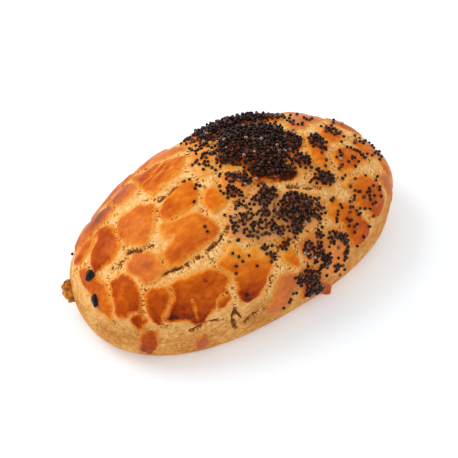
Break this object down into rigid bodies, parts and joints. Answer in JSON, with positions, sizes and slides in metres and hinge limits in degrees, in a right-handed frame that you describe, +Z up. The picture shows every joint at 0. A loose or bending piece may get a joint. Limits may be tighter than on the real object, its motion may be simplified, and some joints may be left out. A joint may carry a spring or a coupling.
{
  "type": "potato pogaca bun",
  "caption": "Oval filled bread bun with a flat base and a glazed top that has cracked into plates, sprinkled with small seeds on one half.",
  "frame": {"origin": "middle of the bounding box, on the plane that the flat base rests on", "axes": "+X along the bun towards the seeded end, +Y across it towards the far side in the picture, +Z up"},
  "size_m": [0.104, 0.064, 0.0389],
  "materials": {
    "crust": "egg-washed baked crust, glossy amber plates with matt pale dough between them",
    "poppy_seeds": "small blue-black seeds with a soft shine"
  },
  "bodies": {
    "root": {"bun": "crust"}
  },
  "joints": []
}
